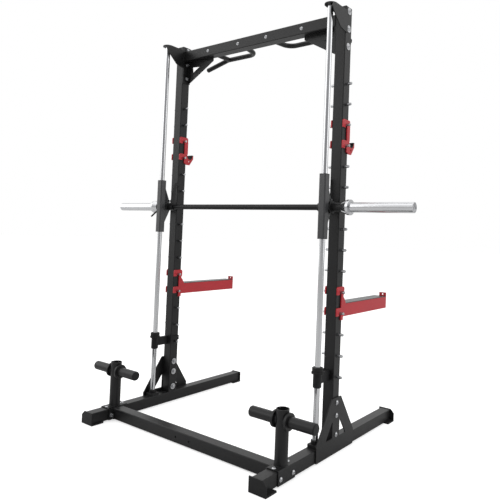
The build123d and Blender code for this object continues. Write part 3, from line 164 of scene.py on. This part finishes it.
FINISHES = {
    "black_powder_coat": finish("black_powder_coat", (0.0085, 0.0085, 0.0088), 0.38, spread=0.12,
                                rough_spread=0.05, grain=850, bump=0.35, specular=0.25,
                                wear=(0.022, 0.022, 0.023, 0.35)),
    "black_bar": finish("black_bar", (0.006, 0.006, 0.0065), 0.30, spread=0.10, rough_spread=0.06,
                        grain=700, bump=0.15, specular=0.17, wear=(0.02, 0.02, 0.02, 0.4)),
    "black_plastic": finish("black_plastic", (0.009, 0.009, 0.0095), 0.46, spread=0.08, rough_spread=0.05,
                            grain=1600, bump=0.5, specular=0.17, wear=(0.024, 0.024, 0.024, 0.3)),
    "black_rubber": finish("black_rubber", (0.010, 0.010, 0.010), 0.62, spread=0.12, rough_spread=0.07,
                           grain=1100, bump=0.55, specular=0.2, wear=(0.026, 0.026, 0.025, 0.5)),
    "chrome": finish("chrome", (0.53, 0.535, 0.545), 0.15, metallic=1.0, spread=0.015, rough_spread=0.04,
                     grain=260, bump=0.04),
    "zinc_steel": finish("zinc_steel", (0.40, 0.405, 0.415), 0.28, metallic=1.0, spread=0.06,
                         rough_spread=0.08, grain=700, bump=0.12, wear=(0.30, 0.30, 0.31, 0.5)),
    "red_powder_coat": finish("red_powder_coat", (0.39, 0.017, 0.025), 0.36, spread=0.05,
                              rough_spread=0.05, grain=850, bump=0.3, specular=0.34,
                              wear=(0.30, 0.012, 0.018, 0.3)),
    "bronze": finish("bronze", (0.50, 0.33, 0.15), 0.35, metallic=1.0, spread=0.10, rough_spread=0.08,
                     grain=900, bump=0.2),
}
# Finishes of single pieces that look a little different from the rest of their slot.
WELD = finish("weld_under_paint", (0.008, 0.008, 0.0083), 0.34, spread=0.15, rough_spread=0.06, grain=1200,
              bump=0.4, specular=0.2)
SATIN = finish("satin_carriage", (0.030, 0.0305, 0.032), 0.33, spread=0.10, rough_spread=0.05, grain=850,
               bump=0.25, specular=0.50, wear=(0.055, 0.045, 0.047, 0.3))
PAD = finish("pad_plastic", (0.012, 0.012, 0.0125), 0.34, spread=0.08, rough_spread=0.05, grain=1600,
             bump=0.4, specular=0.5, wear=(0.028, 0.028, 0.028, 0.3))

SLOT_OF = {row["node"]: row["material_slot"] for row in frame["record"]["subparts"]}
ROUND_NODES = ("guide_rod", "plate_sleeve", "bar_shaft", "rack_pegs", "sleeve_cap", "bar_bushes")
OWN_FINISH = {"carriage_left": SATIN, "carriage_right": SATIN, "safety_arm_pad_left": PAD,
              "safety_arm_pad_right": PAD}

for name, node in frame["nodes"].items():
    node.data.materials.clear()
    node.data.materials.append(OWN_FINISH.get(name, FINISHES[SLOT_OF[name]]))

# ------------------------------------------------------------------ mesh helpers


def add_piece(name, mesh, body, slot, material=None):
    """Put a finished mesh in the scene as a piece that rides on a body."""
    piece = bpy.data.objects.new(name, mesh)
    bpy.context.scene.collection.objects.link(piece)
    mesh.materials.append(material or FINISHES[slot])
    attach(piece, body)
    return piece


def hexagon(apothem, angle):
    """The distance from a hexagon's middle to its outline at this angle."""
    return apothem / cos((angle % (pi / 3)) - pi / 6)


def turned(mesh, place, profile, sides=36):
    """Add a shape turned about the local z axis to a bmesh. Each profile row is (height, radius,
    hexagon apothem or None): a row with an apothem follows the hexagon inside that radius."""
    rings = []
    for height, radius, apothem in profile:
        ring = []
        for i in range(sides):
            angle = 2 * pi * i / sides
            reach = min(radius, hexagon(apothem, angle)) if apothem else radius
            ring.append(mesh.verts.new(place @ Vector((reach * cos(angle), reach * sin(angle), height))))
        rings.append(ring)
    for lower, upper in zip(rings, rings[1:]):
        for i in range(sides):
            j = (i + 1) % sides
            mesh.faces.new((lower[i], lower[j], upper[j], upper[i]))
    mesh.faces.new(reversed(rings[0]))
    mesh.faces.new(rings[-1])


def mesh_of(bm, name, smooth_angle=35):
    """Finish a bmesh as a mesh with smooth shading up to an angle."""
    bmesh.ops.recalc_face_normals(bm, faces=bm.faces)
    mesh = bpy.data.meshes.new(name)
    bm.to_mesh(mesh)
    bm.free()
    mesh.shade_smooth()
    mesh.set_sharp_from_angle(angle=radians(smooth_angle))
    return mesh


MERGE_DISTANCE = 0.01 * MM


def islands(node_name):
    """The box of each separate solid of a CAD node, as (low corner, high corner)."""
    bm = bmesh.new()
    bm.from_mesh(frame["nodes"][node_name].data)
    bmesh.ops.remove_doubles(bm, verts=bm.verts, dist=MERGE_DISTANCE)
    unseen = set(bm.verts)
    boxes = []
    while unseen:
        stack = [unseen.pop()]
        low, high = Vector(stack[0].co), Vector(stack[0].co)
        while stack:
            vert = stack.pop()
            low = Vector(map(min, low, vert.co))
            high = Vector(map(max, high, vert.co))
            for edge in vert.link_edges:
                other = edge.other_vert(vert)
                if other in unseen:
                    unseen.remove(other)
                    stack.append(other)
        boxes.append((low, high))
    bm.free()
    return sorted(boxes, key=lambda box: tuple(round(c, 4) for c in box[0]))


# ------------------------------------------------------------------ fasteners

HEAD_RADIUS = 10 * MM
HEAD_HEIGHT = 6 * MM
SHANK_RADIUS = 5 * MM
WASHER = 2.5 * MM
WASHER_RADII = {"gusset_bolts": (12 * MM, 18 * MM), "beam_bolts": (18 * MM, 12 * MM),
                "base_bolts": (11 * MM, 12 * MM)}
WASHER_SIDES = 48
RIM_SOFTNESS = 0.4 * MM
NUT_HEIGHT = 9 * MM
NUT_APOTHEM = 8.5 * MM
SOCKET_APOTHEM = 3.4 * MM
SOCKET_DEPTH = 3.2 * MM
# The node base_bolts also holds upright screws. A solid narrower than this along x is one of them.
SCREW_WIDTH = 40 * MM


def dome_rows(base):
    """Profile of a domed head with a hexagon socket, standing on height base."""
    ball = (HEAD_RADIUS**2 + HEAD_HEIGHT**2) / (2 * HEAD_HEIGHT)
    rows = [(base, HEAD_RADIUS - RIM_SOFTNESS, None), (base + 0.5 * MM, HEAD_RADIUS, None)]
    widest = asin(HEAD_RADIUS / ball)
    for share in (0.88, 0.76, 0.64, 0.55, 0.48):
        angle = widest * share
        rows.append((base + HEAD_HEIGHT - ball + ball * cos(angle), ball * sin(angle), None))
    rim = rows[-1][0]
    rows.append((rim + 0.15 * MM, SOCKET_APOTHEM * 1.25, None))
    rows.append((rim - 0.3 * MM, SOCKET_APOTHEM * 1.12, SOCKET_APOTHEM))
    rows.append((rim - SOCKET_DEPTH, SOCKET_APOTHEM * 1.12, SOCKET_APOTHEM))
    rows.append((rim - SOCKET_DEPTH - 0.7 * MM, 0.3 * MM, None))
    return rows


def washer_rows(base, radius):
    """Profile of a washer with softened rims."""
    return [(base, radius - RIM_SOFTNESS, None), (base + RIM_SOFTNESS, radius, None),
            (base + WASHER - RIM_SOFTNESS, radius, None), (base + WASHER, radius - RIM_SOFTNESS, None)]


def nut_rows(base):
    """Profile of a lock nut seen from its free end, with the bolt's end in it."""
    corner = NUT_APOTHEM * 1.155
    collar = NUT_APOTHEM * 0.86
    return [(base, corner * 0.95, NUT_APOTHEM), (base + 0.8 * MM, corner, NUT_APOTHEM),
            (base + 6.2 * MM, corner, NUT_APOTHEM), (base + 7.0 * MM, corner * 0.93, NUT_APOTHEM),
            (base + 7.2 * MM, collar, None), (base + 8.4 * MM, collar, None),
            (base + NUT_HEIGHT, collar * 0.9, None), (base + NUT_HEIGHT, SHANK_RADIUS * 1.05, None),
            (base + 7.6 * MM, SHANK_RADIUS, None), (base + 8.0 * MM, SHANK_RADIUS * 0.8, None)]


def outward(point, direction):
    """A frame at this point whose local z axis runs along direction."""
    return Matrix.Translation(point) @ direction.to_track_quat("Z", "Y").to_matrix().to_4x4()


def through_bolts(node_name, washer_radius, nut_washer_radius):
    """Detailed bolts in place of a CAD node of bolts along x, with their heads on the outer sides."""
    bm = bmesh.new()
    for low, high in islands(node_name):
        middle = (low + high) / 2
        if high.x - low.x < SCREW_WIDTH:
            turned(bm, outward(Vector((middle.x, middle.y, high.z - HEAD_HEIGHT)), Vector((0, 0, 1))),
                   dome_rows(0))
            continue
        side = 1 if middle.x > 0 else -1
        head_tip = high.x if side > 0 else low.x
        nut_tip = low.x if side > 0 else high.x
        seat = Vector((head_tip - side * (HEAD_HEIGHT + WASHER), middle.y, middle.z))
        out = outward(seat, Vector((side, 0, 0)))
        turned(bm, out, washer_rows(0, washer_radius), WASHER_SIDES)
        turned(bm, out, dome_rows(WASHER))
        nut_seat = Vector((nut_tip + side * (NUT_HEIGHT + WASHER), middle.y, middle.z))
        back = outward(nut_seat, Vector((-side, 0, 0)))
        turned(bm, back, washer_rows(0, nut_washer_radius), WASHER_SIDES)
        turned(bm, back, nut_rows(WASHER))
    piece = add_piece(node_name + "_detail", mesh_of(bm, node_name + "_detail"), "frame", "zinc_steel")
    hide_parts(node_name)


def dome_screws(node_name, direction):
    """Detailed dome-head screws in place of a CAD node of screws that face along direction."""
    bm = bmesh.new()
    for low, high in islands(node_name):
        middle = (low + high) / 2
        reach = Vector([abs(a) * b / 2 for a, b in zip(direction, high - low)])
        seat = middle + direction * (reach.length - HEAD_HEIGHT)
        turned(bm, outward(seat, direction), dome_rows(0))
    piece = add_piece(node_name + "_detail", mesh_of(bm, node_name + "_detail"), "frame", "zinc_steel")
    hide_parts(node_name)


for node_name, washer_radii in WASHER_RADII.items():
    through_bolts(node_name, *washer_radii)
dome_screws("grip_bolts", Vector((0, -1, 0)))
dome_screws("rod_bolts", Vector((0, 0, 1)))

# ------------------------------------------------------------------ weld beads

BEAD_RADIUS = 2.6 * MM
FINE_BEAD_RADIUS = 1.8 * MM
BEAD_STEP = 1.1 * MM
RIPPLE_LENGTH = 3.6 * MM
RIPPLE_DEPTH = 0.12
BEAD_SIDES = 8
BEAD_INSET = 2 * MM
BEAD_SMOOTH_ANGLE = 80


def along(points, closed):
    """Evenly spaced points along a polyline."""
    ends = points + points[:1] if closed else points
    found, left_over = [], 0.0
    for a, b in zip(ends, ends[1:]):
        length = (b - a).length
        at = left_over
        while at < length:
            found.append(a.lerp(b, at / length))
            at += BEAD_STEP
        left_over = at - length
    return found


def bead(bm, points, closed=True, radius=BEAD_RADIUS):
    """Add a rippled weld bead along a polyline to a bmesh."""
    path = along([Vector(p) for p in points], closed)
    count = len(path)
    rings = []
    for i, point in enumerate(path):
        before = path[i - 1] if closed or i else path[i]
        after = path[(i + 1) % count] if closed or i < count - 1 else path[i]
        forward = (after - before).normalized()
        # Each ring keeps the turn of the one before it, so that the bead does not twist.
        if rings:
            first = (first - forward * first.dot(forward)).normalized()
        else:
            first = forward.orthogonal().normalized()
        second = forward.cross(first)
        swell = 1 + RIPPLE_DEPTH * sin(2 * pi * i * BEAD_STEP / RIPPLE_LENGTH)
        ring = []
        for k in range(BEAD_SIDES):
            angle = 2 * pi * k / BEAD_SIDES
            reach = radius * swell
            ring.append(bm.verts.new(point + reach * (cos(angle) * first + sin(angle) * second)))
        rings.append(ring)
    pairs = list(zip(rings, rings[1:]))
    if closed:
        # The last ring meets the first at its nearest turn.
        shift = min(range(BEAD_SIDES), key=lambda s: (rings[-1][0].co - rings[0][s].co).length)
        pairs.append((rings[-1], rings[0][shift:] + rings[0][:shift]))
    for a, b in pairs:
        for k in range(BEAD_SIDES):
            m = (k + 1) % BEAD_SIDES
            bm.faces.new((a[k], a[m], b[m], b[k]))
    if not closed:
        bm.faces.new(reversed(rings[0]))
        bm.faces.new(rings[-1])


# Sizes and places of the CAD pieces that the beads follow.
TUBE_HALF = 30 * MM
TUBE_CORNER = 3.5 * MM
FLANGE_PLATE = 6 * MM
END_PLATE = 5 * MM
POST_RADIUS = 30 * MM
POST_FOOT_Z = 69 * MM
GRIP_RADIUS = 14 * MM
GRIP_FLANGE = 5 * MM
GRIP_XS = (105 * MM, 347 * MM)
GUSSET_START = 340 * MM
GUSSET_HEEL = 5 * MM
BEAM_DROP = 60 * MM
RING_POINTS = 40
CORNER_STEPS = 4


def square_loop(x, y, z):
    """Points round a square frame tube that runs along x."""
    reach = TUBE_HALF - TUBE_CORNER
    loop = []
    for sy, sz, start in ((1, 1, 0), (-1, 1, 90), (-1, -1, 180), (1, -1, 270)):
        for step in range(CORNER_STEPS):
            angle = radians(start + 90 * step / (CORNER_STEPS - 1))
            loop.append((x, y + sy * reach + TUBE_CORNER * cos(angle),
                         z + sz * reach + TUBE_CORNER * sin(angle)))
    return loop


def ring_loop(centre, radius, axis):
    """Points round a circle about an axis."""
    place = outward(Vector(centre), Vector(axis))
    turns = [2 * pi * i / RING_POINTS for i in range(RING_POINTS)]
    return [place @ Vector((radius * cos(angle), radius * sin(angle), 0)) for angle in turns]


beads = bmesh.new()
bar_low, bar_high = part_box("base_crossbar")
top_low, top_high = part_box("top_beam")
crossbar_y = (bar_low.y + bar_high.y) / 2
crossbar_z = (bar_low.z + bar_high.z) / 2
beam_y = (top_low.y + top_high.y) / 2
beam_z = top_high.z - BEAM_DROP
for side, side_name in ((-1, "left"), (1, "right")):
    # The base crossbar in its flange, and the top beam in its end plate.
    bead(beads, square_loop(side * (bar_high.x - FLANGE_PLATE), crossbar_y, crossbar_z))
    bead(beads, square_loop(side * (top_high.x - END_PLATE), beam_y, beam_z))
    # The foot of the storage post, and the two tubes of the grip in their flanges.
    post_x = side * (bar_high.x + TUBE_HALF)
    bead(beads, ring_loop((post_x, crossbar_y, POST_FOOT_Z), POST_RADIUS, (0, 0, 1)))
    grip_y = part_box("pullup_grip_" + side_name)[0].y + GRIP_FLANGE
    for x in GRIP_XS:
        bead(beads, ring_loop((side * x, grip_y, beam_z), GRIP_RADIUS, (0, 1, 0)), radius=FINE_BEAD_RADIUS)
    # Both faces of the gusset, along the beam and along the end plate.
    gusset_low, gusset_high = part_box("beam_gusset_" + side_name)
    heel_x = side * (top_high.x - END_PLATE)
    near_x = heel_x - side * BEAD_INSET
    far_x = side * (GUSSET_START + 2 * BEAD_INSET)
    for y in (gusset_low.y, gusset_high.y):
        top = gusset_high.z
        bead(beads, [(near_x, y, top), (far_x, y, top)], closed=False, radius=FINE_BEAD_RADIUS)
        bead(beads, [(heel_x, y, gusset_low.z + GUSSET_HEEL), (heel_x, y, top)], closed=False,
             radius=FINE_BEAD_RADIUS)
weld_mesh = mesh_of(beads, "weld_beads", BEAD_SMOOTH_ANGLE)
add_piece("weld_beads", weld_mesh, "frame", "black_powder_coat", WELD)

# ------------------------------------------------------------------ softened edges of the CAD pieces

EDGE_SOFTNESS = 0.9 * MM
EDGE_ANGLE = 50

for name, node in frame["nodes"].items():
    if node.hide_render or name.startswith(ROUND_NODES):
        continue
    bevel = node.modifiers.new("soft_edges", "BEVEL")
    bevel.width = EDGE_SOFTNESS
    bevel.segments = 2
    bevel.limit_method = "ANGLE"
    bevel.angle_limit = radians(EDGE_ANGLE)
    bevel.harden_normals = True

# ------------------------------------------------------------------ floor, backdrop and light


def plain(name, color, roughness, glow):
    """A matt studio surface, lifted to white by a faint glow that lights nothing else."""
    material = bpy.data.materials.new(name)
    material.use_nodes = True
    shader = material.node_tree.nodes["Principled BSDF"]
    shader.inputs["Base Color"].default_value = (*color, 1)
    shader.inputs["Roughness"].default_value = roughness
    shader.inputs["Specular IOR Level"].default_value = 0.1
    shader.inputs["Emission Color"].default_value = (1, 1, 1, 1)
    nodes, links = material.node_tree.nodes, material.node_tree.links
    ray = nodes.new("ShaderNodeLightPath")
    strength = nodes.new("ShaderNodeMath")
    strength.operation = "MULTIPLY"
    strength.inputs[1].default_value = glow
    links.new(ray.outputs["Is Camera Ray"], strength.inputs[0])
    links.new(strength.outputs["Value"], shader.inputs["Emission Strength"])
    return material


FLOOR_HALF = 40.0
FLOOR_Z = -0.5 * MM
floor_corners = [(x * FLOOR_HALF, y * FLOOR_HALF, FLOOR_Z) for x, y in ((-1, -1), (1, -1), (1, 1), (-1, 1))]
floor_mesh = bpy.data.meshes.new("floor")
floor_mesh.from_pydata(floor_corners, [], [(0, 1, 2, 3)])
floor_mesh.materials.append(plain("floor_white", (0.62, 0.62, 0.62), 0.9, 0.55))
floor = bpy.data.objects.new("floor", floor_mesh)
bpy.context.scene.collection.objects.link(floor)

# The direction of the dim zone's middle, and the cosines where it starts and is full.
DIM_SIDE = (0.64, -0.77, 0.0)
DIM_START = 0.45
DIM_FULL = 0.97
# The heights (z of the direction) between which the studio grows brighter, and its light there.
LOW_SKY = 0.02
HIGH_SKY = 0.40
LOW_SKY_LIGHT = 0.85
HIGH_SKY_LIGHT = 1.36

world = bpy.data.worlds.new("studio")
bpy.context.scene.world = world
world.use_nodes = True
sky, wires = world.node_tree.nodes, world.node_tree.links
background = sky["Background"]
direction = sky.new("ShaderNodeTexCoord")
split = sky.new("ShaderNodeSeparateXYZ")
wires.new(direction.outputs["Generated"], split.inputs["Vector"])
# A dim zone at the front right gives the chrome its dark lines.
toward = sky.new("ShaderNodeVectorMath")
toward.operation = "DOT_PRODUCT"
toward.inputs[1].default_value = DIM_SIDE
wires.new(direction.outputs["Generated"], toward.inputs[0])
dim = sky.new("ShaderNodeValToRGB")
dim.color_ramp.elements[0].position = DIM_START
dim.color_ramp.elements[0].color = (0.86, 0.86, 0.86, 1)
dim.color_ramp.elements[1].position = DIM_FULL
dim.color_ramp.elements[1].color = (0.36, 0.36, 0.37, 1)
wires.new(toward.outputs["Value"], dim.inputs["Fac"])
# The upper part of the studio is brighter than the part near the floor.
lift = sky.new("ShaderNodeMapRange")
lift.inputs["From Min"].default_value = LOW_SKY
lift.inputs["From Max"].default_value = HIGH_SKY
lift.inputs["To Min"].default_value = LOW_SKY_LIGHT
lift.inputs["To Max"].default_value = HIGH_SKY_LIGHT
wires.new(split.outputs["Z"], lift.inputs["Value"])
graded = sky.new("ShaderNodeVectorMath")
graded.operation = "SCALE"
wires.new(dim.outputs["Color"], graded.inputs[0])
wires.new(lift.outputs["Result"], graded.inputs["Scale"])
path = sky.new("ShaderNodeLightPath")
seen = sky.new("ShaderNodeMix")
seen.data_type = "RGBA"
seen.inputs["B"].default_value = (1.0, 1.0, 1.0, 1)
wires.new(path.outputs["Is Camera Ray"], seen.inputs["Factor"])
wires.new(graded.outputs["Vector"], seen.inputs["A"])
wires.new(seen.outputs["Result"], background.inputs["Color"])
background.inputs["Strength"].default_value = 1.0


def softbox(name, place, target, width, height, power):
    """A large rectangular studio light that looks at a target."""
    data = bpy.data.lights.new(name, "AREA")
    data.shape = "RECTANGLE"
    data.size = width
    data.size_y = height
    data.energy = power
    light = bpy.data.objects.new(name, data)
    bpy.context.scene.collection.objects.link(light)
    light.location = place
    light.rotation_euler = (Vector(target) - Vector(place)).to_track_quat("-Z", "Y").to_euler()


softbox("overhead", (0.0, -0.6, 4.6), (0, 0, 0), 5.0, 5.0, 45)
softbox("left_side", (-4.5, -2.0, 2.4), (0, 0, 1.1), 2.5, 4.0, 40)
softbox("front_left", (-3.2, -4.6, 3.3), (0.2, 0, 1.8), 2.2, 2.8, 42)
softbox("right_side", (4.2, 1.5, 2.6), (0, 0, 1.1), 2.5, 4.0, 40)

view = bpy.context.scene.view_settings
view.view_transform = "Standard"
view.look = "None"
